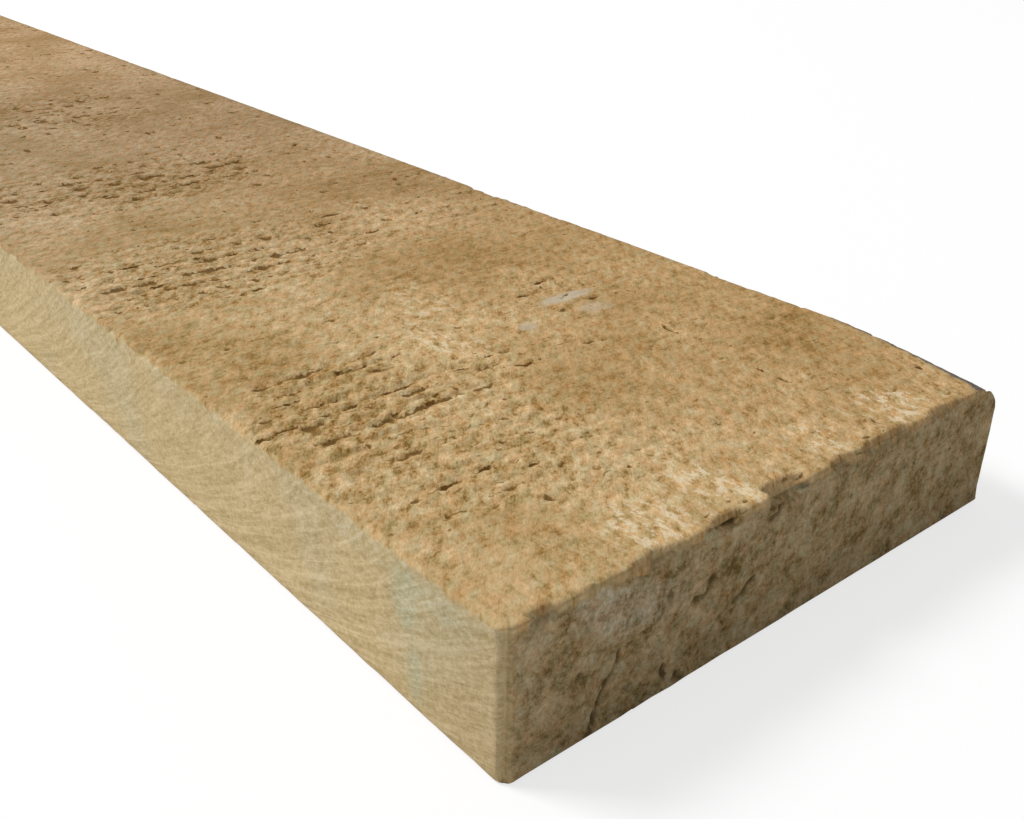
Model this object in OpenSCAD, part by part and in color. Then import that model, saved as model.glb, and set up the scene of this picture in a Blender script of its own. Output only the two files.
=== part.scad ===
// Rough-sawn timber plank: one length of stock, stored lying on a broad face.
// X runs along the grain, Y across the width and Z up, from the floor under the plank's middle.
// The near end is the one at +X, the front edge is the one at -Y.

/* [Sawn stock] */
// Length of the plank along the grain
plank_length = 1800; // [600:100:4800]
// Width of the two broad faces
plank_width = 225; // [100:5:300]
// Thickness between the two broad faces
plank_thickness = 50; // [32:1:100]

/* [Worn arrises] */
// Radius that handling has worn onto the four long arrises
long_arris_radius = 2; // [0.5:0.25:4]
// Radius that handling has worn onto the arrises round the two sawn ends
end_arris_radius = 1.5; // [0.5:0.25:4]

/* [Wane on the back top arris] */
// How far the wane runs along the plank from the near end
wane_length = 75; // [30:5:400]
// How deep the wane is at the near end, on the diagonal of the arris
wane_depth = 7.5; // [3:0.25:8]
// Radius of the wane's rounded surface
wane_radius = 20; // [20:1:120]

/* [Bruise on the front corner] */
// How far the bruise runs up the standing arris of the near end from the floor
bruise_length = 42; // [20:1:60]
// How deep the bruise is at the floor, on the diagonal of the arris
bruise_depth = 2; // [1:0.25:3]
// Radius of the bruise's rounded surface
bruise_radius = 8; // [8:0.5:30]

/* [Hidden] */
// Smoothness of every round surface
$fn = 96;
// How far a cutting shape passes the stock that it cuts
cut_past = 5;
// Turn that brings a square arris to stand on the diagonal
arris_turn = 45;
timber_colour = [0.71, 0.58, 0.38];

// A rectangle about the origin with its four corners rounded
module rounded_outline(size, radius) {
    square([size.x - 2 * radius, size.y], center = true);
    square([size.x, size.y - 2 * radius], center = true);
    for (side = [-1, 1], end = [-1, 1])
        translate([side * (size.x / 2 - radius), end * (size.y / 2 - radius)])
            circle(radius);
}

// The stock as the saws left it, with its arrises worn: the outlines seen along X, Y and Z, crossed
module sawn_stock() {
    intersection() {
        rotate([90, 0, 90])
            linear_extrude(plank_length, center = true)
                rounded_outline([plank_width, plank_thickness], long_arris_radius);
        rotate([90, 0, 0])
            linear_extrude(plank_width, center = true)
                rounded_outline([plank_length, plank_thickness], end_arris_radius);
        linear_extrude(plank_thickness, center = true)
            rounded_outline([plank_length, plank_width], end_arris_radius);
    }
}

// What a rounded, tapering loss takes off an arris. The arris lies along X with its two faces
// sloping away below it; the loss starts at the origin and is deepest where it has run its length.
module arris_loss(run, depth, radius) {
    slope = atan(depth / run);
    reach = norm([run, depth]) + cut_past;
    half_width = radius * cos(arris_turn);
    rotate([0, slope, 0])
        difference() {
            translate([0, -half_width, half_width - radius])
                cube([reach, 2 * half_width, radius + depth]);
            translate([-cut_past, 0, -radius])
                rotate([0, 90, 0])
                    cylinder(h = reach + 2 * cut_past, r = radius);
        }
}

// The log's own rounded surface, left on the back top arris at the near end
module wane() {
    translate([plank_length / 2 - wane_length, plank_width / 2, plank_thickness])
        rotate([-arris_turn, 0, 0])
            arris_loss(wane_length, wane_depth, wane_radius);
}

// The near end's front corner, knocked round where it has stood on the floor
module corner_bruise() {
    translate([plank_length / 2, -plank_width / 2, bruise_length])
        rotate([0, 0, -arris_turn])
            rotate([0, 90, 0])
                arris_loss(bruise_length, bruise_depth, bruise_radius);
}

module plank() {
    color(timber_colour)
        difference() {
            translate([0, 0, plank_thickness / 2])
                sawn_stock();
            wane();
            corner_bruise();
        }
}

plank();
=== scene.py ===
# %% [markdown]
# # A rough-sawn timber plank
# A plank is one piece of wood, so this lesson makes one mesh and one finish, and spends its care on
# what the saws and the weather did to them. A bandsaw opened the two broad faces and tore the fibres
# in rows across the grain. A circular saw swept over the two edges, and a cross-cut saw opened the
# end grain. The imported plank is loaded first: it says how big everything is and where it stands.

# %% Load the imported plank
import math
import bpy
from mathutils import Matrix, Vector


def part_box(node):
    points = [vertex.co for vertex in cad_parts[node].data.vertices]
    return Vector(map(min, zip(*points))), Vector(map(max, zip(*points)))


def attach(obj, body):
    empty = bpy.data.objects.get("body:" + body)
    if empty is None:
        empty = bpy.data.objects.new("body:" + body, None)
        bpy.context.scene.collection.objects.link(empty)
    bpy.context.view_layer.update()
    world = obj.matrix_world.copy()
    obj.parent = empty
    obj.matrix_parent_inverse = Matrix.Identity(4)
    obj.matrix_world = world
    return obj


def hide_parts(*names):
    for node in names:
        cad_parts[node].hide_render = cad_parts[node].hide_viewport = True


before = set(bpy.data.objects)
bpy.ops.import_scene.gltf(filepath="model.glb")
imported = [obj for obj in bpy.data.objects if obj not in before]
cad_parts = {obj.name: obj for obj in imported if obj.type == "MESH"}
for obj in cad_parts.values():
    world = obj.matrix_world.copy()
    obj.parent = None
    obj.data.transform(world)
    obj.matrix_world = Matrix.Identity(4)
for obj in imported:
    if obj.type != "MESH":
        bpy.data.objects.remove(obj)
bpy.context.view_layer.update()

from types import SimpleNamespace

import bmesh
import bpy
import numpy as np
from mathutils import Vector

MM = 0.001
low, high = (Vector(corner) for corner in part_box("plank"))
LENGTH, WIDTH, THICK = high - low
print("plank, millimetres:", [round(size / MM, 1) for size in (LENGTH, WIDTH, THICK)])

# %% [markdown]
# ## Sums with sockets
# The saw marks have to be known twice: by the mesh, which is cut to them, and by the finish, which
# darkens the same crevices. Two node trees could be wired by hand, but they would soon differ.
# Geometry Nodes and shader nodes share their Math, Noise and Voronoi nodes, so one small class wraps
# a socket of either kind of tree, and the marks are written once as ordinary Python sums.


# %% A socket that Python can do sums with
def fill_ramp(elements, stops):
    """Give a colour ramp its stops, each a position and a colour."""
    elements.remove(elements[-1])
    elements[0].position, elements[0].color = stops[0]
    for position, colour in stops[1:]:
        elements.new(position).color = colour


class Wire:
    """An output socket of a node tree. Sums on values add Math nodes, on vectors Vector Math nodes."""

    def __init__(self, tree, socket):
        self.tree = tree
        self.socket = socket

    def node(self, kind, settings=None, sockets=None, out=0):
        """Any node: its settings first, then the values or links of its sockets."""
        new = self.tree.nodes.new(kind)
        for name, value in (settings or {}).items():
            if name == "stops":
                fill_ramp(new.color_ramp.elements, value)
            else:
                setattr(new, name, value)
        for name, value in (sockets or {}).items():
            if isinstance(value, Wire):
                self.tree.links.new(value.socket, new.inputs[name])
            else:
                new.inputs[name].default_value = value
        return Wire(self.tree, new.outputs[out])

    def other(self, out):
        """Another output of the node that this wire comes from."""
        return Wire(self.tree, self.socket.node.outputs[out])

    def is_vector(self):
        return self.socket.type in {"VECTOR", "RGBA"}

    def maths(self, operation, *terms, out=0):
        """This wire and the other terms in any Math or Vector Math operation."""
        terms = (self, *terms)
        if any(isinstance(term, tuple) or isinstance(term, Wire) and term.is_vector() for term in terms):
            terms = [(term,) * 3 if isinstance(term, (int, float)) else term for term in terms]
            return self.node("ShaderNodeVectorMath", {"operation": operation}, dict(enumerate(terms)), out)
        return self.node("ShaderNodeMath", {"operation": operation}, dict(enumerate(terms)), out)

    def __add__(self, term):
        return self.maths("ADD", term)

    __radd__ = __add__

    def __mul__(self, term):
        return self.maths("MULTIPLY", term)

    __rmul__ = __mul__

    def __sub__(self, term):
        return self.maths("SUBTRACT", term)

    def __rsub__(self, term):
        return self * -1.0 + term

    def __truediv__(self, term):
        return self.maths("DIVIDE", term)

    def __pow__(self, term):
        return self.maths("POWER", term)

    def at_least(self, term):
        return self.maths("MAXIMUM", term)

    def size(self):
        """The value without its sign."""
        return self.maths("ABSOLUTE")

    def split(self):
        """The three parts of a vector."""
        x = self.node("ShaderNodeSeparateXYZ", {}, {0: self})
        return x, x.other(1), x.other(2)

    def step(self, start, end, low=0.0, high=1.0):
        """A smooth step from low at start to high at end."""
        sockets = {"Value": self, "From Min": start, "From Max": end, "To Min": low, "To Max": high}
        return self.node("ShaderNodeMapRange", {"interpolation_type": "SMOOTHSTEP"}, sockets)

    def shades(self, *colours):
        """Colours from dark to light, spread evenly over the values from 0 to 1."""
        stops = [(i / (len(colours) - 1), (*colour, 1.0)) for i, colour in enumerate(colours)]
        return self.node("ShaderNodeValToRGB", {"stops": stops}, {"Fac": self})

    def paint(self, under, over):
        """A colour: under where this mask is 0, over where it is 1."""
        colours = [part if isinstance(part, Wire) else (*part, 1.0) for part in (under, over)]
        sockets = {0: self, 6: colours[0], 7: colours[1]}
        return self.node("ShaderNodeMix", {"data_type": "RGBA"}, sockets, out=2)


def join(x, y, z=0.0):
    """A vector from three values, of which the first is a wire."""
    return x.node("ShaderNodeCombineXYZ", {}, {0: x, 1: y, 2: z})


def noise(place, detail=2.0, rough=0.5):
    """Soft noise about 0, one lump for each unit of place. A number added to place gives other noise."""
    sockets = {"Vector": place, "Scale": 1.0, "Detail": detail, "Roughness": rough}
    return place.node("ShaderNodeTexNoise", {"noise_dimensions": "2D"}, sockets) - 0.5


print("sums ready for", Wire.__name__)

# %% [markdown]
# ## The sawn block
# The blank is a cube at the plank's size with its arrises bevelled. A plain grid of faces would be
# either too coarse for the saw marks or too heavy for the whole length. The marks need small faces
# where the camera is near and few at the far end, so the block is first cut across with Bisect into
# zones, and the edges that run along the plank are then subdivided zone by zone.

# %% Add the block and wear its arrises
ARRIS = 1.6 * MM
ARRIS_STEPS = 2

bpy.ops.object.select_all(action="DESELECT")
bpy.ops.mesh.primitive_cube_add(size=1, calc_uvs=False, location=(low + high) / 2)
plank = bpy.context.active_object
plank.name = plank.data.name = "sawn_plank"
plank.scale = (LENGTH, WIDTH, THICK)
bpy.ops.object.transform_apply(location=True, rotation=False, scale=True)

bpy.ops.object.mode_set(mode="EDIT")
bpy.ops.mesh.select_all(action="SELECT")
bpy.ops.mesh.bevel(offset=ARRIS, segments=ARRIS_STEPS, affect="EDGES")
print("block with", len(bmesh.from_edit_mesh(plank.data).faces), "faces")

# %% Cut the block into small faces
# Each zone: how far it reaches from the near end, and how many cuts cross it
ZONES = [(120 * MM, 99), (240 * MM, 99), (360 * MM, 90), (480 * MM, 80), (760 * MM, 95), (1060 * MM, 80),
         (LENGTH, 95)]
CUTS_ACROSS = 79
CUTS_UP = 34
# The share of its length that an edge has to run along an axis
ALONG_SHARE = 0.99


def select_edges(axis, start=-math.inf, end=math.inf):
    """Select the edges along one axis, whose middle lies between start and end along X."""
    block = bmesh.from_edit_mesh(plank.data)
    for edge in block.edges:
        span = edge.verts[1].co - edge.verts[0].co
        middle = (edge.verts[1].co.x + edge.verts[0].co.x) / 2
        edge.select_set(abs(span[axis]) > ALONG_SHARE * span.length and start < middle < end)
    block.select_flush_mode()
    bmesh.update_edit_mesh(plank.data)


bpy.ops.mesh.select_mode(type="EDGE")
for reach, _ in ZONES[:-1]:
    bpy.ops.mesh.select_all(action="SELECT")
    bpy.ops.mesh.bisect(plane_co=(high.x - reach, 0, 0), plane_no=(1, 0, 0))
bpy.ops.mesh.select_all(action="SELECT")
bpy.ops.mesh.bisect(plane_co=(0, 0, 0), plane_no=(0, 1, 0))
zone_start = 0.0
for reach, cuts in ZONES:
    select_edges(0, high.x - reach, high.x - zone_start)
    bpy.ops.mesh.subdivide(number_cuts=cuts)
    zone_start = reach
for axis, cuts in ((1, CUTS_ACROSS), (2, CUTS_UP)):
    select_edges(axis)
    bpy.ops.mesh.subdivide(number_cuts=cuts)
bpy.ops.object.mode_set(mode="OBJECT")
print("cut block with", len(plank.data.polygons), "faces")

# %% [markdown]
# ## Marks of the bandsaw
# On the broad faces the bandsaw tore the fibres in rows across the grain, as far apart as the plank
# moved on between two of its coarse teeth. A row could be a string of modelled cuts, but a real one
# is broken and crooked, which noise does better: a row's line wanders, and a chance value along it
# opens it wide in some places and shuts it in others. Voronoi cells scatter deeper tears on top of
# the rows, at most one to a cell. Between them the face is a fuzz of fibre ends that all lean one
# way, which a noise drawn out along that way gives.

# %% Fuzz, flakes, rows and tears
LEAN = math.radians(140)
LEAN_STRETCH = 2.0
ROW_PITCH = 11.4 * MM
# How long a stretch of a row stays open, how far it wanders slowly and quickly and over what lengths,
# how soft its rim is, and how far its slope runs out
ROW_BREAK = 10 * MM
ROW_WANDER = 6 * MM
ROW_JITTER = 3.2 * MM
WANDER_SIZE = 20 * MM
JITTER_SIZE = 4 * MM
ROW_RIM = 0.6 * MM
SLOPE_RUN = 5 * MM
# How crooked a tear is, and over what length
CROOK = 3 * MM
CROOK_SIZE = 5 * MM


def fuzzy(flow):
    """A place on a broad face, shortened along the fuzz's lean, so that noise is drawn out that way."""
    way = (math.cos(LEAN), math.sin(LEAN), 0.0)
    side = (-math.sin(LEAN), math.cos(LEAN), 0.0)
    along = flow.maths("DOT_PRODUCT", way, out="Value")
    return join(along / LEAN_STRETCH, flow.maths("DOT_PRODUCT", side, out="Value"))


def cells(flow, size, seed, jitter):
    """Voronoi cells: the offset from the middle of a point's cell, in metres, and three chance values."""
    place = flow / (*size, 1.0) + seed
    sockets = {"Vector": place, "Scale": 1.0, "Randomness": jitter}
    chance = place.node("ShaderNodeTexVoronoi", {"voronoi_dimensions": "2D"}, sockets, "Color")
    return (place - chance.other("Position")) * (*size, 1.0), chance.split()


def flakes(flow, size, seed):
    """A scale of flakes: how far each point has climbed its flake, and how high the flake stands."""
    warp = noise(flow / (0.9 * size[1]) + seed, 3.0, 0.6)
    offset, chance = cells(flow + warp * (0.9 * size[0], 0.9 * size[1], 0.0), size, seed, 1.0)
    return offset.split()[0] / size[0], chance[0]


def saw_rows(x, y, zone, far):
    """Rows of thin tears across the grain, which open and shut along their row, and each one's slope."""
    flow = join(x, y)
    bend = ROW_WANDER * noise(flow / WANDER_SIZE + 1.0) + ROW_JITTER * noise(flow / JITTER_SIZE + 5.0)
    count = (x + bend) / ROW_PITCH
    row = count.maths("FLOOR")
    off = (count - row - 0.5) * ROW_PITCH
    luck = noise(join(3.7 * row, y / ROW_BREAK), 3.0, 0.7)
    half_width = MM * ((6.0 + 6.0 * far) * luck + 1.6 * zone - 0.7)
    slope = (3.5 * half_width - off.at_least(-4.0 * off)).step(0.0, SLOPE_RUN)
    return (half_width - off.size()).step(0.0, ROW_RIM), slope


def tears(flow, ragged, cell, size, seed, share):
    """Short tears across the grain in a share of the cells: 1 in the hollow, crisp on its far side."""
    offset, (wide, long, chosen) = cells(flow, cell, seed, 0.85)
    off_x, off_y, _ = offset.split()
    off_x = off_x + CROOK * noise(flow / CROOK_SIZE + seed)
    off_x = (-1.6 * off_x).at_least(0.7 * off_x) / ((0.5 + wide) * size[0])
    off_y = off_y / (size[1] * (0.35 + long))
    inside = 1.0 - off_x * off_x - off_y * off_y + 2.0 * ragged
    return inside.step(0.1, 0.9) * chosen.maths("LESS_THAN", share)


print("rows", round(ROW_PITCH / MM, 1), "mm apart, about", round(LENGTH / ROW_PITCH), "to the length")

# %% What the bandsaw left
# From the near end: where the far part of the face starts and is in full, and where chance may tear it
FAR = (100 * MM, 550 * MM)
FREE = (25 * MM, 70 * MM)
# How big one lump is of the zones left to chance, the saw's streaks, the fuzz, the swells, the flakes and
# the frayed rims of single tears
ZONE_SIZE = 130 * MM
STREAK_SIZE = (2.8 * MM, 15 * MM, 1.0)
FUZZ_SIZE = 3 * MM
SWELL_SIZE = 28 * MM
FLAKE_SIZE = (5 * MM, 9 * MM)
FRAY_SIZE = 6 * MM
# The cells that hold one big or one small tear, and half the small one's size
CLEFT_CELL = (ROW_PITCH, 17 * MM)
NICK_CELL = (5.2 * MM, 6.4 * MM)
NICK_SIZE = (0.6 * MM, 1.9 * MM)
# How deep the marks go, in millimetres
TEAR_DEPTH = 0.9
SLOPE_DEPTH = 0.5
FUZZ_DEPTH = 0.45
SWELL_DEPTH = 0.5


def broad_marks(x, y, from_near, torn, mark):
    """The two broad faces: where they are torn, and how deep."""
    flow = join(x, y)
    fuzz = fuzzy(flow)
    far = from_near.step(*FAR)
    zone = torn + 0.45 * noise(flow / ZONE_SIZE + 3.0).step(0.02, 0.25) * from_near.step(*FREE)
    streak = noise(flow / STREAK_SIZE + 6.0, 3.0, 0.7)
    crumb = noise(fuzz / FUZZ_SIZE, 3.0, 0.65)
    crumb = crumb + far * (0.9 * streak - 0.8 * crumb)
    swell = noise(flow / SWELL_SIZE + 2.0)
    climb, stands = flakes(flow, FLAKE_SIZE, 2.3)
    rows, slope = saw_rows(x, y, zone, far)
    cleft_size = (0.5 + 1.1 * zone) * (1.0 - 0.45 * far) * MM, (6.0 + 4.0 * far) * MM
    clefts = tears(flow, crumb, CLEFT_CELL, cleft_size, 2.3, 0.01 + 0.4 * zone)
    clefts = clefts * zone.step(0.0, 0.5, 0.5, 1.0)
    nicks = tears(flow, crumb, NICK_CELL, NICK_SIZE, 7.1, 0.06 + 0.45 * zone)
    single = (mark + 1.6 * crumb + 1.2 * noise(flow / FRAY_SIZE + 9.0)).step(0.45, 1.0)
    tear = clefts.at_least(0.55 * nicks).at_least(0.8 * rows).at_least(single)
    shingle = (0.14 + 0.6 * zone) * (1.0 - 0.8 * far) * (0.6 - climb + 0.5 * stands)
    depth = (TEAR_DEPTH * tear + SLOPE_DEPTH * slope + shingle + (FUZZ_DEPTH + 0.5 * zone) * (crumb + 0.5)
             + SWELL_DEPTH * (swell + 0.5))
    return SimpleNamespace(flow=flow, fuzz=fuzz, far=far, streak=streak, crumb=crumb, climb=climb,
                           slope=slope, tear=tear, depth=depth * MM)


print("broad faces marked by rows, tears, flakes and fuzz")

# %% [markdown]
# ## Marks of the other saws
# The circular saw that cut the edges moved forward a little with each tooth, so its marks are one arc
# repeated along the plank. Modelled arcs would be too even: here a noise is drawn out along the arc,
# with thin pale ridges where another such noise passes 0. The cross-cut saw crumbled the end grain,
# which has pits in it and a check where the wood dried.

# %% Sweeps on the edges and pits on the ends
BLADE_RADIUS = 250 * MM
BLADE_ABOVE = 216 * MM
# How far the blade wavers, and over what length
WAVER = 9 * MM
WAVER_SIZE = 45 * MM
# How big one lump is, across and along the sweep or along the end: sweeps, fibres, ridges, crumbs, blots
SWEEP_SIZE = (9 * MM, 40 * MM)
FIBRE_SIZE = (3.2 * MM, 4.2 * MM)
RIDGE_SIZE = (14 * MM, 60 * MM)
CRUMB_SIZE = 3 * MM
BLOT_SIZE = 12 * MM
# The cells that hold one pit, and half its size
PIT_CELL = (7 * MM, 8 * MM)
PIT_SIZE = (0.8 * MM, 1.3 * MM)
# Over this height from the floor the relief of the end grain comes in
SMOOTH_FOOT = 6 * MM


def edge_marks(x, z):
    """What the circular saw left on the two edges."""
    flow = join(x, z)
    rise = z - (THICK / 2 + BLADE_ABOVE)
    swept = x - (BLADE_RADIUS ** 2 - rise * rise) ** 0.5 + WAVER * noise(flow / WAVER_SIZE)
    sweep = noise(join(swept / SWEEP_SIZE[0], z / SWEEP_SIZE[1]), 3.0, 0.6)
    grain = noise(join(swept / FIBRE_SIZE[0], z / FIBRE_SIZE[1]) + 7.0, 4.0, 0.85)
    crossing = noise(join(swept / RIDGE_SIZE[0], z / RIDGE_SIZE[1]) + 3.0)
    ridge = (1.0 - 20.0 * crossing.size()).at_least(0.0)
    depth = MM * (0.35 * (sweep + 0.5) + 0.6 * (grain + 0.5) + 0.15 * (1.0 - ridge))
    return SimpleNamespace(flow=flow, sweep=sweep, ridge=ridge, grain=grain, depth=depth)


def end_marks(y, z, mark):
    """What the cross-cut saw opened: crumbled end grain with pits and a few checks in it."""
    flow = join(y, z)
    grain = noise(flow / CRUMB_SIZE, 4.0, 0.75)
    blot = noise(flow / BLOT_SIZE + 4.0, 5.0, 0.85)
    pit = tears(flow, grain, PIT_CELL, PIT_SIZE, 4.4, 0.25)
    check = (1.15 * mark + 0.9 * grain).step(0.15, 0.95).at_least(0.6 * pit)
    depth = MM * (1.2 * check + 0.9 * (grain + 0.5) + 0.8 * (blot + 0.5))
    depth = depth * (z - low.z).step(0.0, SMOOTH_FOOT)
    return SimpleNamespace(flow=flow, check=check, blot=blot, grain=grain, depth=depth)


print("blade of", round(2 * BLADE_RADIUS / MM), "mm on the edges")

# %% Which face a point is on
# How far the noise is moved along on the faces that look the other way, so that no two faces are alike
OTHER_SIDE = 5.0
# How far a face has to lean the other way to count as the other one
LEANS_OVER = 0.3


def marks_at(place, sawn, torn, mark):
    """All the marks at a place, from the way its face looked before it was torn."""
    x, y, z = place.split()
    face_x, face_y, face_z = sawn.split()
    top = face_z.maths("GREATER_THAN", -LEANS_OVER)
    front = face_y.maths("LESS_THAN", LEANS_OVER)
    near = face_x.maths("GREATER_THAN", -LEANS_OVER)
    broad = broad_marks(x + OTHER_SIDE * (1.0 - top), y, high.x - x, torn, mark)
    edge = edge_marks(x + OTHER_SIDE * (1.0 - front), z)
    end = end_marks(y + OTHER_SIDE * (1.0 - near), z, mark)
    on_broad, on_edge, on_end = (part * part for part in (face_z, face_y, face_x))
    depth = on_broad * broad.depth + on_edge * edge.depth + on_end * end.depth
    return SimpleNamespace(broad=broad, edge=edge, end=end, on_broad=on_broad, on_edge=on_edge,
                           on_end=on_end, depth=depth)


print("marks worked out for three kinds of face")

# %% [markdown]
# ## Wear on the arrises
# At the near end the back top arris keeps the log's own round surface, a wane that tapers away along
# the plank, and the front corner is knocked round at the floor. A boolean could cut them, but it
# would leave a seam in the fine mesh. Both are the same loss: points that stand outside a slightly
# tilted cylinder are pushed back to it. The top arrises are chipped too, each chip a little chamfer
# whose size is left to chance.

# %% Rounded losses and chips
DIAGONAL = math.sqrt(0.5)
WANE_RUN = 75 * MM
BRUISE_RUN = 42 * MM
WANE = {"start": (high.x - WANE_RUN, high.y, high.z), "along": (1, 0, 0), "out": (0, DIAGONAL, DIAGONAL),
        "run": WANE_RUN, "depth": 7.5 * MM, "radius": 20 * MM}
BRUISE = {"start": (high.x, low.y, low.z + BRUISE_RUN), "along": (0, 0, -1),
          "out": (DIAGONAL, -DIAGONAL, 0), "run": BRUISE_RUN, "depth": 2 * MM, "radius": 8 * MM}
# How far aside a loss reaches, as a share of its radius
LOSS_REACH = 0.85
# Chips on the top arrises: how long one is, and how far it may bite
NEAR_CHIPS = (8 * MM, 4.5 * MM)
FRONT_CHIPS = (9 * MM, 3.2 * MM)
BACK_CHIPS = (24 * MM, 2.6 * MM)
# How far the back arris is moved along in the noise, so that its chips aren't those of the front
BACK_MOVED = 3.0
# Big chips on the near end's top arris, in millimetres: from the back edge, half length and depth
NOTCHES = [(70, 11, 4.0), (117, 9, 7.0), (38, 6, 3.5), (92, 5, 3.5), (144, 8, 4.0), (172, 9, 3.0)]
# How ragged they are, and over what length
NOTCH_FRAY = 8 * MM
NOTCH_FRAY_SIZE = 6 * MM
# How much is worn off the near end's front standing arris, how ragged that is, and over what length
CORNER_LOSS = 3.4 * MM
CORNER_FRAY = 3 * MM
CORNER_FRAY_SIZE = 9 * MM


def stands_out(place, start, along, out, run, depth, radius):
    """How far a point stands outside the tilted cylinder that has worn an arris away."""
    side = tuple(Vector(along).cross(out))
    gone = place - start
    reach, stands, aside = (gone.maths("DOT_PRODUCT", way, out="Value") for way in (along, out, side))
    surface = (radius ** 2 - aside * aside).at_least(0.0) ** 0.5 - radius - reach * (depth / run)
    return stands - surface - radius * aside.size().maths("GREATER_THAN", LOSS_REACH * radius)


def chips(along, from_arris, size, reach):
    """How far the chips along an arris bite into it: each is a ragged little chamfer of its own size."""
    flow = join(along, from_arris)
    count = (along / size + 1.5 * noise(flow / (0.7 * size)) + 0.5 * noise(flow / (2 * MM))).maths("FLOOR")
    chance = count.node("ShaderNodeTexWhiteNoise", {"noise_dimensions": "1D"}, {"W": count})
    bite = (1.7 * chance - 0.7).at_least(0.0) + 0.4 * noise(flow / (3 * MM), 3.0, 0.6)
    return (bite * reach - from_arris).at_least(0.0)


def losses(place):
    """How far each kind of wear has pushed a point in."""
    x, y, z = place.split()
    below, from_end = high.z - z, high.x - x
    chip = chips(y, below + from_end, *NEAR_CHIPS)
    ragged = NOTCH_FRAY * noise(join(y, below + from_end) / NOTCH_FRAY_SIZE)
    for back, half_length, depth in NOTCHES:
        aside = (high.y - y - back * MM + ragged) / (half_length * MM)
        notch = (1.0 - aside * aside).step(0.0, 0.5) * (depth * MM) - below - from_end
        chip = chip.at_least(notch)
    from_corner = (y - low.y) + from_end
    corner = CORNER_LOSS + CORNER_FRAY * noise(join(z, from_corner) / CORNER_FRAY_SIZE)
    corner = (corner - from_corner).at_least(0.0)
    front = chips(x, below + (y - low.y), *FRONT_CHIPS)
    back = chips(x + BACK_MOVED, below + (high.y - y), *BACK_CHIPS)
    return {"wane": stands_out(place, **WANE), "bruise": stands_out(place, **BRUISE), "chip": chip,
            "corner": corner, "front_chip": front, "back_chip": back}


# The way that each kind of wear pushes a point, for each unit of its loss
INWARD = {"wane": tuple(-1.0 * Vector(WANE["out"])), "bruise": tuple(-1.0 * Vector(BRUISE["out"])),
          "chip": (-0.5, 0.0, -0.5), "corner": (-0.5, 0.5, 0.0),
          "front_chip": (0.0, 0.5, -0.5), "back_chip": (0.0, -0.5, -0.5)}
print("kinds of wear:", ", ".join(INWARD))

# %% [markdown]
# ## Where the face is worst
# Saws don't tear evenly. The worst places, the pale flecks and the longest tears are listed, as
# one would paint weights on a mesh: soft spots and crooked lines, worked out for all points at once
# and stored as attributes. The relief and the finish both read them, and fray them with noise. Nodes
# could draw them as well, but a tree with a node for each spot is slow to build.

# %% Spots given one by one
# Places on the top, in millimetres: from the near end, from the back edge, half length and half width, and
# how strong each is
TORN_ZONES = [(119, 178, 22, 62, 0.6), (148, 180, 12, 36, 0.5), (270, 165, 48, 85, 0.75),
              (408, 150, 46, 90, 0.85), (590, 105, 60, 55, 0.9), (160, 66, 12, 18, 0.2),
              (82, 180, 46, 58, 0.5), (50, 150, 30, 40, 0.15), (10, 195, 26, 36, -0.5)]
PALE_PATCHES = [(14, 110, 26, 130, 0.3), (14, 164, 18, 15, 0.6), (20, 136, 15, 10, 0.6),
                (8, 130, 9, 4, 1.4), (15, 88, 13, 9, 0.5), (13, 47, 18, 16, 0.6),
                (150, 130, 40, 26, 0.45), (145, 135, 18, 9, 0.4), (187, 116, 26, 16, 0.5),
                (285, 62, 40, 30, 0.4)]
GREY_SLIVERS = [(151, 69, 5, 18, 1.3), (136, 67, 7, 12, 0.8), (137, 101, 5, 6, 1.0)]
# Where the timber is hazed with grey. On the near end: from the front edge and below the top
END_HAZE = [(44, 14, 16, 11, 0.8), (30, 8, 12, 8, 0.6), (58, 18, 10, 8, 0.5)]
# On the front edge: from the near end and below the top
EDGE_HAZE = [(42, 14, 8, 13, 0.8), (38, 38, 5, 14, 0.6), (27, 8, 16, 6, 0.4), (62, 7, 20, 6, 0.3)]
# More than 1 gives a spot a flat middle
FLAT_MIDDLE = 1.25


def spots(u, v, places):
    """Soft spots at the listed places, as strong in their middle as they say."""
    total = np.zeros(len(u))
    for middle_u, middle_v, half_u, half_v, strength in places:
        off_u, off_v = (u - middle_u) / half_u, (v - middle_v) / half_v
        total += strength * np.clip(FLAT_MIDDLE - FLAT_MIDDLE * (off_u * off_u + off_v * off_v), 0.0, 1.0)
    return total


print(len(TORN_ZONES), "torn zones,", len(PALE_PATCHES), "pale patches and", len(GREY_SLIVERS), "slivers")
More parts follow.
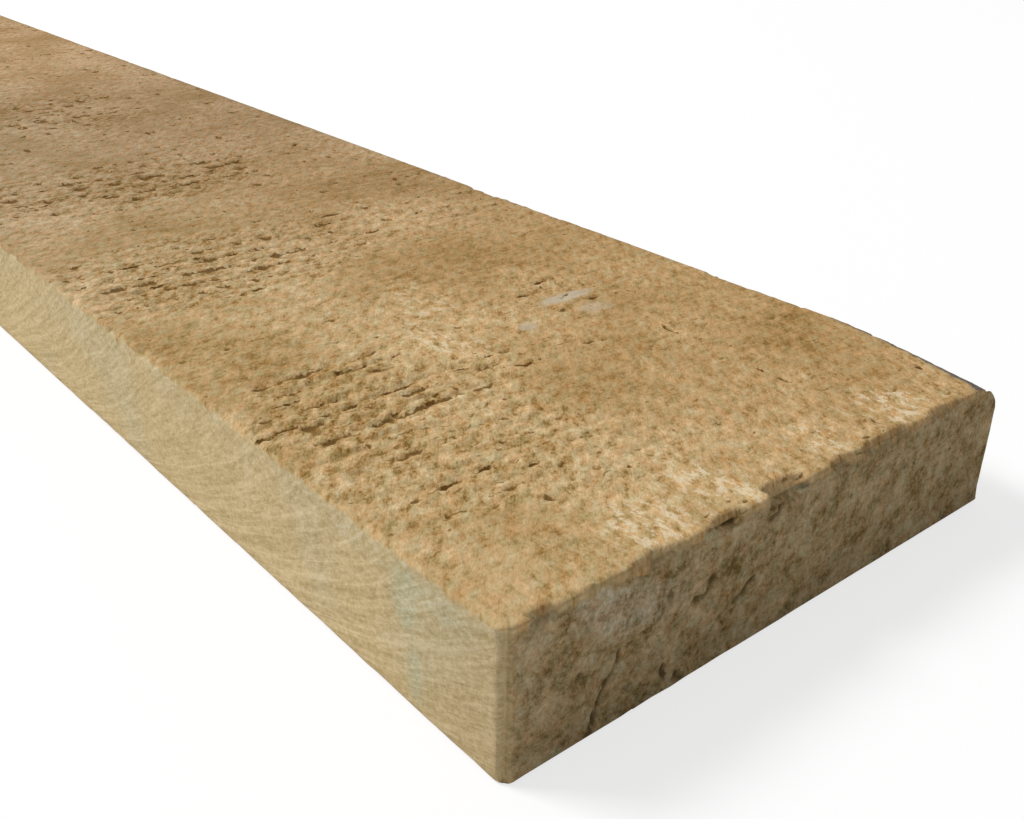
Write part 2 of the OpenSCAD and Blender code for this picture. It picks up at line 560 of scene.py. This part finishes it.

# %% Lines given one by one
# Single tears on the top: the places each runs through, as above, and its half width
TOP_LINES = [([(0, 63), (60, 61), (100, 60)], 0.5), ([(99, 60), (117, 58), (124, 55)], 1.2),
             ([(126, 46), (134, 41), (142, 43)], 1.5), ([(144, 57), (145, 80)], 1.3),
             ([(171, 53), (170, 80)], 1.2), ([(147, 153), (147, 178), (148, 200)], 1.1),
             ([(125, 120), (126, 131)], 1.8), ([(126, 155), (124, 178), (121, 218)], 1.4),
             ([(112, 120), (114, 131)], 1.8),
             ([(113, 154), (112, 167)], 1.6), ([(111, 177), (110, 184)], 2.0),
             ([(112, 193), (110, 200)], 2.0), ([(111, 211), (110, 223)], 1.7),
             ([(140, 155), (140, 167)], 1.3), ([(291, 82), (291, 95)], 1.6),
             ([(268, 80), (268, 93)], 1.5), ([(284, 160), (284, 177)], 1.4),
             ([(252, 158), (251, 173)], 1.5), ([(260, 187), (259, 210)], 1.4),
             ([(406, 106), (406, 114)], 2.6), ([(402, 141), (402, 149)], 2.6),
             ([(433, 28), (425, 36)], 2.2), ([(38, 11), (25, 15), (14, 20)], 0.9),
             ([(198, 86), (195, 58)], 1.2), ([(163, 85), (161, 57)], 1.3), ([(113, 97), (111, 85)], 1.5),
             ([(115, 132), (112, 116)], 1.4), ([(278, 53), (281, 43)], 1.6)]
# The check and the pits on the near end: from the front edge and below the top
END_LINES = [([(42, 25), (40, 31), (37, 34), (34, 39), (33, 43), (30, 49)], 1.2),
             ([(77, 18), (74, 24), (70, 23)], 2.0), ([(95, 27), (91, 30), (87, 32)], 1.6),
             ([(97, 7), (101, 9), (104, 9), (105, 6)], 1.6), ([(82, 34), (80, 36), (78, 38)], 1.5),
             ([(82, 34), (84, 41)], 1.2), ([(48, 24), (51, 24)], 1.5),
             ([(46, 36), (48, 33)], 1.5), ([(43, 40), (44, 41)], 1.8), ([(27, 28), (28, 27)], 1.8),
             ([(59, 40), (60, 45)], 1.3), ([(65, 46), (66, 48)], 2.0), ([(74, 1), (84, 2)], 2.4)]
# A scratch on the front edge: from the near end and below the top
EDGE_LINES = [([(126, 5), (130, 29)], 0.8)]
WOBBLE_STEP = 2.5
WOBBLE_COUNT = 100


def wobble(place, step, seed):
    """A smooth random value between -1 and 1 for each place, with a new one every few millimetres."""
    values = np.random.default_rng(seed).uniform(-1.0, 1.0, WOBBLE_COUNT)
    return np.interp(place % ((WOBBLE_COUNT - 1) * step), np.arange(WOBBLE_COUNT) * step, values)


def lines(u, v, places):
    """1 along the listed crooked lines, falling to 0 beside them, faster on the far side."""
    total = np.zeros(len(u))
    for seed, (stops, half_width) in enumerate(places):
        crook = 0.6 * half_width * wobble(u + v, WOBBLE_STEP, seed)
        strength = 1.0 + 0.35 * wobble(u + v, 2 * WOBBLE_STEP, seed + WOBBLE_COUNT)
        for (start_u, start_v), (end_u, end_v) in zip(stops, stops[1:]):
            run_u, run_v = end_u - start_u, end_v - start_v
            along = ((u - start_u) * run_u + (v - start_v) * run_v) / (run_u * run_u + run_v * run_v)
            along = np.clip(along, 0.0, 1.0)
            off_u, off_v = u - start_u - along * run_u + crook, v - start_v - along * run_v
            off_u = np.maximum(1.5 * off_u, -0.7 * off_u)
            total = np.maximum(total, strength - np.hypot(off_u, off_v) / half_width)
    return total


print(len(TOP_LINES), "single tears on the top and", len(END_LINES), "marks on the near end")

# %% Store the spots and lines on the mesh
# How far a point has to face up to be on the top, and outwards to be on the near end or the front edge
FACES_UP = 0.3
FACES_OUT = 0.7


def read_points(field):
    """Three numbers of every point of the plank's mesh, one row to an axis."""
    values = np.empty(3 * len(plank.data.vertices))
    plank.data.vertices.foreach_get(field, values)
    return values.reshape(-1, 3).T


def store(name, values):
    """A value for each point of the plank's mesh, kept as an attribute."""
    plank.data.attributes.new(name, "FLOAT", "POINT").data.foreach_set("value", values)
    print(name, "stored on", np.count_nonzero(values), "points")


point_x, point_y, point_z = read_points("co") / MM
facing_x, facing_y, facing_z = read_points("normal")
on_top, on_near, on_front = facing_z > FACES_UP, facing_x > FACES_OUT, facing_y < -FACES_OUT
top_place = high.x / MM - point_x, high.y / MM - point_y
near_place = point_y - low.y / MM, high.z / MM - point_z
front_place = high.x / MM - point_x, high.z / MM - point_z
store("torn", on_top * spots(*top_place, TORN_ZONES))
store("pale", on_top * spots(*top_place, PALE_PATCHES))
store("grey", on_top * spots(*top_place, GREY_SLIVERS))
store("haze", on_near * spots(*near_place, END_HAZE) + on_front * spots(*front_place, EDGE_HAZE))
store("mark", on_top * lines(*top_place, TOP_LINES) + on_near * lines(*near_place, END_LINES)
      + on_front * lines(*front_place, EDGE_LINES))

# %% [markdown]
# ## Cutting the marks into the mesh
# Sculpting would be the way by hand. A Geometry Nodes modifier does it by rule: it keeps the way each
# point faced as an attribute, for the finish, and then pushes the point into the wood by the depth of
# its mark. Nothing is pushed outwards, so the plank keeps its size.

# %% Build and apply the relief modifier
relief = bpy.data.node_groups.new("saw_marks", "GeometryNodeTree")
relief.interface.new_socket("Geometry", in_out="INPUT", socket_type="NodeSocketGeometry")
relief.interface.new_socket("Geometry", in_out="OUTPUT", socket_type="NodeSocketGeometry")
stock = Wire(relief, relief.nodes.new("NodeGroupInput").outputs[0])


def keep(block, kind, name, value):
    """The block with a value stored on its points."""
    sockets = {"Geometry": block, "Name": name, "Value": value}
    return stock.node("GeometryNodeStoreNamedAttribute", {"data_type": kind}, sockets)


def kept(name):
    """A value that is stored on the block's points."""
    return stock.node("GeometryNodeInputNamedAttribute", {"data_type": "FLOAT"}, {"Name": name})


place = stock.node("GeometryNodeInputPosition")
facing = stock.node("GeometryNodeInputNormal")
block = keep(stock, "FLOAT_VECTOR", "sawn_face", facing)
for name, value in losses(place).items():
    block = keep(block, "FLOAT", name, value)
push = facing * (-1.0 * marks_at(place, facing, kept("torn"), kept("mark")).depth)
for name, inward in INWARD.items():
    push = push + kept(name).at_least(0.0) * inward
pushed = stock.node("GeometryNodeSetPosition", {}, {"Geometry": block, "Offset": push})
relief.links.new(pushed.socket, relief.nodes.new("NodeGroupOutput").inputs[0])

bpy.ops.object.modifier_add(type="NODES")
plank.modifiers[-1].node_group = relief
bpy.ops.object.modifier_apply(modifier=plank.modifiers[-1].name)
print("relief cut, with", len(relief.nodes), "nodes")

# %% [markdown]
# ## Fewer faces where they don't show
# The cut block has more faces than a part in a library should carry. Decimate merges them, and a
# vertex group tells it where: at the far end, along the floor and on the back arrises, which show
# least. Merging can carry a point a hair outside the plank, so all points are put back within its
# box.

# %% Thin the faces that the marks don't need
MOST_TRIANGLES = 196000
KEPT_REACH = 440 * MM
THIN_RIM = 3 * MM

spare = [point.index for point in plank.data.vertices
         if point.co.x < high.x - KEPT_REACH or point.co.z < THIN_RIM or point.co.y > high.y - THIN_RIM]
plank.vertex_groups.new(name="spare").add(spare, 1.0, "REPLACE")
plank.data.calc_loop_triangles()
bpy.ops.object.modifier_add(type="DECIMATE")
plank.modifiers[-1].ratio = MOST_TRIANGLES / len(plank.data.loop_triangles)
plank.modifiers[-1].vertex_group = "spare"
bpy.ops.object.modifier_apply(modifier=plank.modifiers[-1].name)
plank.vertex_groups.clear()
within = np.clip(read_points("co").T, tuple(low), tuple(high))
plank.data.vertices.foreach_set("co", within.ravel())
bpy.ops.object.shade_smooth()
plank.data.calc_loop_triangles()
print("thinned to", len(plank.data.loop_triangles), "triangles")

# %% [markdown]
# ## A flat map of the faces
# Programs that can't run these nodes show the finish as a picture, and each face needs its own place
# in it. Smart UV Project would break the torn faces into thousands of scraps. A plank unfolds by
# itself: each long face is cut in two halves, and all the strips lie above each other in a square of
# one metre, the underside at half height.

# %% Unfold the plank
MAP_GAP = 6 * MM
MAP_START = 50 * MM
UNDERSIDE_SHARE = 0.5
# Each face: the axis it looks along and which way, the two axes of its strip, 1 or -1 for each that keeps
# its way or is turned round, and the strip's share of its true height
STRIPS = [(2, 1, 0, 1, (1, 1), 1.0), (1, -1, 0, 2, (1, 1), 1.0), (1, 1, 0, 2, (-1, 1), 1.0),
          (2, -1, 0, 1, (1, -1), UNDERSIDE_SHARE), (0, 1, 1, 2, (1, 1), 1.0), (0, -1, 1, 2, (-1, 1), 1.0)]

face_sizes = np.empty(len(plank.data.polygons), dtype=np.int32)
plank.data.polygons.foreach_get("loop_total", face_sizes)
first_corner = np.concatenate([[0], np.cumsum(face_sizes)[:-1]])
corner_points = np.empty(len(plank.data.loops), dtype=np.int32)
plank.data.loops.foreach_get("vertex_index", corner_points)
sawn_face = np.empty(3 * len(plank.data.vertices))
plank.data.attributes["sawn_face"].data.foreach_get("vector", sawn_face)
facing = np.add.reduceat(sawn_face.reshape(-1, 3)[corner_points], first_corner)
places = within[corner_points] - (low + high) / 2
first_half = np.add.reduceat(places[:, 0], first_corner) > 0.0
looks_along = np.argmax(np.abs(facing), axis=1)

flat = np.zeros((len(corner_points), 2))
strip_start = MAP_GAP
for axis, way, along, across, turns, share in STRIPS:
    here = (looks_along == axis) & (facing[:, axis] * way > 0.0)
    for half in ((True, False) if along == 0 else (True,)):
        chosen = np.repeat(here & (first_half == half) if along == 0 else here, face_sizes)
        u, v = turns[0] * places[chosen, along], turns[1] * places[chosen, across]
        flat[chosen, 0] = MAP_START + u - u.min()
        flat[chosen, 1] = strip_start + share * (v - v.min())
        strip_start += share * (v.max() - v.min()) + MAP_GAP
bake_map = plank.data.uv_layers.new(name="OFBake")
bake_map.data.foreach_set("uv", flat.ravel())
print("map filled to", flat.max(axis=0).round(3), "of a square of 1")

# %% [markdown]
# ## The finish
# Bare sawn softwood is dull: golden beige on the broad faces, paler on the edges and grey-brown on the
# end grain. The shade of its relief is painted into the colour as well: darker where the fuzz is cut
# deeper, brown on the shaded side of flakes and rows, near black in the tears. One wood texture for all
# faces would look like wallpaper. For each kind of face a sum of noises gives a value from 0 to 1, and
# a few shades of timber from dark to light are spread over it.

# %% Start the finish
GLOSS = 0.02
SPECKLE_SIZE = 1.5 * MM
# How much the wood leans to red or to green, for each unit of a noise
HUE = (0.35, -0.12, -0.35)

finish = bpy.data.materials.new("sawn_timber")
finish.use_nodes = True
shader = finish.node_tree.nodes["Principled BSDF"]
shader.inputs["Specular IOR Level"].default_value = GLOSS
spot = Wire(finish.node_tree, finish.node_tree.nodes.new("ShaderNodeTexCoord").outputs["Object"])
sawn = spot.node("ShaderNodeAttribute", {"attribute_name": "sawn_face"}, out="Vector")
torn, pale, grey, haze, mark, wane, chip = (
    spot.node("ShaderNodeAttribute", {"attribute_name": name}, out="Fac")
    for name in ("torn", "pale", "grey", "haze", "mark", "wane", "chip"))
marks = marks_at(spot, sawn, torn, mark)
broad, edge, end = marks.broad, marks.edge, marks.end
from_end, from_back, below = (tuple(high) - spot).split()
speckle_sockets = {"Vector": spot, "Scale": 1 / SPECKLE_SIZE, "Detail": 2.0, "Roughness": 0.7}
speckle = spot.node("ShaderNodeTexNoise", {}, speckle_sockets) - 0.5
print("finish started, with", len(finish.node_tree.nodes), "nodes for the marks")

# %% Colour the broad faces
BROAD_SHADES = [(0.17, 0.09, 0.021), (0.318, 0.2, 0.072), (0.445, 0.305, 0.145), (0.53, 0.38, 0.198),
                (0.645, 0.485, 0.28)]
# Tints that the shades are multiplied by in the far part and along the back edge
FAR_TINT = (0.80, 0.82, 0.97)
BACK_TINT = (0.93, 0.88, 0.83)
# Where the face grows brighter, from the near end, and where the back tint fades, from the back edge
BRIGHT_END = (550 * MM, 800 * MM)
BACK_REACH = (70 * MM, 170 * MM)
# Where the splits along the grain fade, from the near end
SPLIT_REACH = (12 * MM, 50 * MM)
TONE_SIZE = 4 * MM
PATCH_SIZE = 60 * MM
SPLIT_SIZE = (14 * MM, 2.2 * MM, 1.0)

far = broad.far
tone = noise(broad.fuzz / TONE_SIZE + 3.0, 3.5, 0.85)
hue = noise(broad.fuzz / TONE_SIZE + 8.0, 2.0, 0.75)
patch = noise(broad.flow / PATCH_SIZE, 3.0, 0.6)
rough = (1.1 * patch + 0.6 * torn + 0.12 * far).step(-0.14, 0.28)
split = noise(broad.flow / SPLIT_SIZE + 4.0, 3.0, 0.7) * from_end.step(*SPLIT_REACH, 1.0, 0.0)
# The -0.3 * crumb term darkens the face where the fuzz is cut deeper: painted shade
value = (0.5 + (1.0 + 1.2 * rough - 0.6 * far) * tone - 0.3 * broad.crumb + 0.45 * speckle + 0.5 * split
         + 0.7 * patch + (0.5 + 0.3 * far) * broad.streak)
colour = value.shades(*BROAD_SHADES)
colour = colour * (hue * HUE + 1.0)
colour = far.paint(colour, colour * FAR_TINT)
colour = colour * from_end.step(*BRIGHT_END, 1.0, 1.2)
colour = from_back.step(*BACK_REACH).paint(colour * BACK_TINT, colour)
print("broad faces in", len(BROAD_SHADES), "shades")

# %% Flecks, slivers and tears on the broad faces, with painted shade
CREAM = (0.66, 0.54, 0.36)
GREY = (0.47, 0.40, 0.29)
# Painted shade: brown for the shaded slopes and hollows, near black for the cores of the tears
HOLLOW_SHADE = (0.21, 0.12, 0.035)
CREVICE_SHADE = (0.075, 0.031, 0.004)
FLECK_SIZE = (5.5 * MM, 3.2 * MM, 1.0)

fleck = noise(broad.flow / FLECK_SIZE, 3.0, 0.65) + 0.25 * speckle
fleck = (fleck + 0.1 * pale).step(0.06, 0.22) * pale.maths("MINIMUM", 0.85)
colour = fleck.paint(colour * (0.14 * pale + 1.0), CREAM)
sliver = (grey + 2.0 * broad.crumb + speckle).step(0.3, 0.9) * (0.7 * grey)
colour = sliver.paint(colour, GREY)
# Painted shade: the low side of each flake, the slope beside each row and the tears are darkened for the
# shade that falls in them
shade = broad.climb.step(-0.55, -0.25, 1.0, 0.0) * (0.1 + 0.7 * torn).at_least(0.0)
hollow = (0.8 * broad.tear.step(0.0, 0.5)).at_least(0.5 * shade).at_least(0.7 * broad.slope)
colour = hollow.paint(colour, HOLLOW_SHADE)
broad_colour = (0.85 * broad.tear.step(0.55, 1.0)).paint(colour, CREVICE_SHADE)
print("flecks, slivers and tears laid over them")

# %% Colour the edges
EDGE_SHADES = [(0.345, 0.26, 0.128), (0.465, 0.366, 0.204), (0.585, 0.475, 0.295)]
WARM_TINT = (1.02, 0.99, 0.945)
COOL_TINT = (0.985, 1.01, 1.03)
EDGE_HAZE_TINT = (0.93, 1.06, 1.18)
SCRATCH = (0.55, 0.50, 0.37)
COOL_SIZE = 55 * MM
COOL_FADE = 170 * MM
# How far from the near end the edge is darker, and how dark
DIM_REACH = 60 * MM
DIM = 0.86

cool = (noise(edge.flow / COOL_SIZE + 2.0) + 0.15 - below / COOL_FADE).step(-0.1, 0.2)
value = 0.5 + 1.7 * edge.grain + 0.6 * edge.sweep + 1.3 * speckle + 0.25 * edge.ridge
colour = value.shades(*EDGE_SHADES)
colour = cool.paint(colour * WARM_TINT, colour * COOL_TINT)
colour = from_end.step(0.0, DIM_REACH).paint(colour * DIM, colour)
colour = (haze + 1.2 * edge.grain).step(0.0, 0.9).paint(colour, colour * EDGE_HAZE_TINT)
edge_colour = (0.5 * mark).paint(colour, SCRATCH)
print("edges in", len(EDGE_SHADES), "shades")

# %% Colour the ends
END_SHADES = [(0.125, 0.08, 0.024), (0.29, 0.208, 0.104), (0.415, 0.328, 0.193)]
END_HAZE_TINT = (1.14, 1.22, 1.48)
CHECK_SHADE = (0.075, 0.046, 0.015)
END_HUE_SIZE = 5 * MM

end_hue = noise(end.flow / END_HUE_SIZE + 8.0, 2.0, 0.7)
value = 0.5 + 2.4 * end.blot + 0.9 * end.grain + 0.9 * speckle
colour = value.shades(*END_SHADES)
colour = colour * (end_hue * HUE + 1.0)
colour = (haze + 1.2 * end.grain).step(0.0, 0.9).paint(colour, colour * END_HAZE_TINT)
# The check and the pits are painted dark: painted shade in their recesses
end_colour = (0.85 * end.check).paint(colour, CHECK_SHADE)
print("ends in", len(END_SHADES), "shades")

# %% [markdown]
# ## Ragged arrises
# Where two faces meet, the fuzz of one hangs over the other, so a straight border of colours would
# look painted. The masks that tell the faces apart are frayed by noise, the chips get a little painted
# shade, the back arris has a thin grey rim, and the wane keeps the dark grey of the bark. Bare wood
# has hardly any gloss: its roughness varies a little with the fuzz, and a bump gives it the fibres
# that are too fine for the mesh.

# %% Bring the faces together
BARK = (0.13, 0.112, 0.096)
RIM = (0.42, 0.37, 0.29)
CHIP_SHADE = 0.85
BUMP_STRENGTH = 0.6
# The fuzz hangs over an edge, an end and the end's front side: how far, how raggedly, how soft its rim is
EDGE_HANG, EDGE_RAGGED, EDGE_SOFT = 1 * MM, 7 * MM, 2 * MM
END_HANG, END_RAGGED, END_SOFT = 1.2 * MM, 12 * MM, 2.5 * MM
SIDE_HANG, SIDE_RAGGED, SIDE_SOFT = 1 * MM, 8 * MM, 4 * MM
HANG_SIZE = 6 * MM
# Where a chip and the bark start to show and show in full, and where the rim fades
CHIP_SHOWS = (0.2 * MM, 1.4 * MM)
BARK_SHOWS = (-0.8 * MM, -0.2 * MM)
RIM_STRENGTH = 0.6
RIM_FROM_BACK = (0.5 * MM, 2.5 * MM)
RIM_BELOW = (1 * MM, 4 * MM)

hang = EDGE_RAGGED * noise(edge.flow / HANG_SIZE + 5.0, 3.0, 0.6)
fray = (below - EDGE_HANG + hang).step(0.0, EDGE_SOFT)
colour = (marks.on_edge * fray).paint(broad_colour, edge_colour)
fray = (below - END_HANG + END_RAGGED * end.blot).step(0.0, END_SOFT)
from_front = (spot - tuple(low)).split()[1]
fray = fray * (from_front - SIDE_HANG + SIDE_RAGGED * end.grain).step(0.0, SIDE_SOFT)
colour = (marks.on_end.step(0.3, 0.7) * fray).paint(colour, end_colour)
# The chips are darkened a little: painted shade
colour = chip.step(*CHIP_SHOWS).paint(colour, colour * CHIP_SHADE)
rim = from_back.step(*RIM_FROM_BACK, RIM_STRENGTH, 0.0) * below.step(*RIM_BELOW, 1.0, 0.0)
colour = rim.paint(colour, RIM)
bark = (wane + MM * broad.crumb).step(*BARK_SHOWS) * (1.0 - marks.on_end)
colour = bark.paint(colour, BARK)
finish.node_tree.links.new(colour.socket, shader.inputs["Base Color"])

dull = 0.9 + 0.15 * speckle - 0.06 * broad.tear
finish.node_tree.links.new(dull.socket, shader.inputs["Roughness"])
height = 0.3 * speckle + 0.75 * marks.on_broad * tone
bump_sockets = {"Height": height * MM, "Distance": 1.0, "Strength": BUMP_STRENGTH}
bump = spot.node("ShaderNodeBump", {}, bump_sockets)
finish.node_tree.links.new(bump.socket, shader.inputs["Normal"])
plank.data.materials.append(finish)
print("finish with", len(finish.node_tree.nodes), "nodes")

# %% [markdown]
# ## The stage
# The plank lies on a pale floor under one large soft lamp, as in a studio. A lamp strong enough to
# make the floor white would bleach the wood. Instead the floor and the world glow only for rays that
# come straight from the camera or from a gloss, so they look white without lighting the plank, and
# the floor still takes its shadow.

# %% Lay the floor
FLOOR_SIZE = 30
FLOOR_GLOW = 0.72
FLOOR_GREY = 0.9


def shown_rays(tree):
    """1 for the rays that show a background: those from the camera, from a gloss and through glass."""
    seen = Wire(tree, tree.nodes.new("ShaderNodeLightPath").outputs["Is Camera Ray"])
    return seen.at_least(seen.other("Is Glossy Ray")).at_least(seen.other("Is Transmission Ray"))


bpy.ops.object.select_all(action="DESELECT")
bpy.ops.mesh.primitive_plane_add(size=FLOOR_SIZE)
floor = bpy.context.active_object
floor.name = "floor"
floor_finish = bpy.data.materials.new("pale_floor")
floor_finish.use_nodes = True
floor_tree = floor_finish.node_tree
paper = floor_tree.nodes["Principled BSDF"]
paper.inputs["Base Color"].default_value = (FLOOR_GREY, FLOOR_GREY, FLOOR_GREY, 1)
paper.inputs["Roughness"].default_value = 1.0
paper.inputs["Specular IOR Level"].default_value = 0.0
shown = shown_rays(floor_tree)
glow = shown.node("ShaderNodeEmission", {}, {"Color": (1, 1, 1, 1), "Strength": 1.0})
surfaces = {0: FLOOR_GLOW * shown, 1: Wire(floor_tree, paper.outputs[0]), 2: glow}
mixed = shown.node("ShaderNodeMixShader", {}, surfaces)
floor_tree.links.new(mixed.socket, floor_tree.nodes["Material Output"].inputs["Surface"])
floor.data.materials.append(floor_finish)
print("floor of", FLOOR_SIZE, "m")

# %% Light the stage
SKY = 0.4
LAMP_PLACE = (-4.5, -3.75, 7.45)
LAMP_AIM = (0.5, 0, 0.03)
LAMP_SIZE = 3.0
LAMP_WATTS = 940

world = bpy.data.worlds.new("studio")
world.use_nodes = True
bpy.context.scene.world = world
backdrop = world.node_tree.nodes["Background"]
backdrop.inputs["Color"].default_value = (1, 1, 1, 1)
strength = SKY + (1.0 - SKY) * shown_rays(world.node_tree)
world.node_tree.links.new(strength.socket, backdrop.inputs["Strength"])

bpy.ops.object.light_add(type="AREA", location=LAMP_PLACE)
lamp = bpy.context.active_object
lamp.name = "soft_lamp"
lamp.data.size = LAMP_SIZE
lamp.data.energy = LAMP_WATTS
lamp.rotation_euler = (Vector(LAMP_AIM) - lamp.location).to_track_quat("-Z", "Y").to_euler()
print("lamp", round((Vector(LAMP_AIM) - lamp.location).length, 2), "m away")

# %% [markdown]
# ## The camera
# The camera stands close to the near front corner and looks along the plank, so the near end is large
# and the far end runs out of the picture. Its place is given from that corner, and its turn and lens
# were found by lining up the plank's corners.

# %% Place the camera
CAMERA_FROM_CORNER = (0.16094, -0.13537, 0.21580)
CAMERA_TURN = (62.970, -0.877, 50.143)
LENS = 39.9
SENSOR = 36

camera_data = bpy.data.cameras.new("camera")
camera_data.lens = LENS
camera_data.sensor_width = SENSOR
camera = bpy.data.objects.new("camera", camera_data)
bpy.context.scene.collection.objects.link(camera)
camera.location = Vector((high.x, low.y, low.z)) + Vector(CAMERA_FROM_CORNER)
camera.rotation_euler = [math.radians(angle) for angle in CAMERA_TURN]
bpy.context.scene.camera = camera
bpy.context.scene.view_settings.view_transform = "Standard"
print("camera", round(Vector(CAMERA_FROM_CORNER).length, 3), "m from the near front corner")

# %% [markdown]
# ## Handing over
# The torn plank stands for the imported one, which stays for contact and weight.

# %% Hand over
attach(plank, "root")
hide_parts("plank")
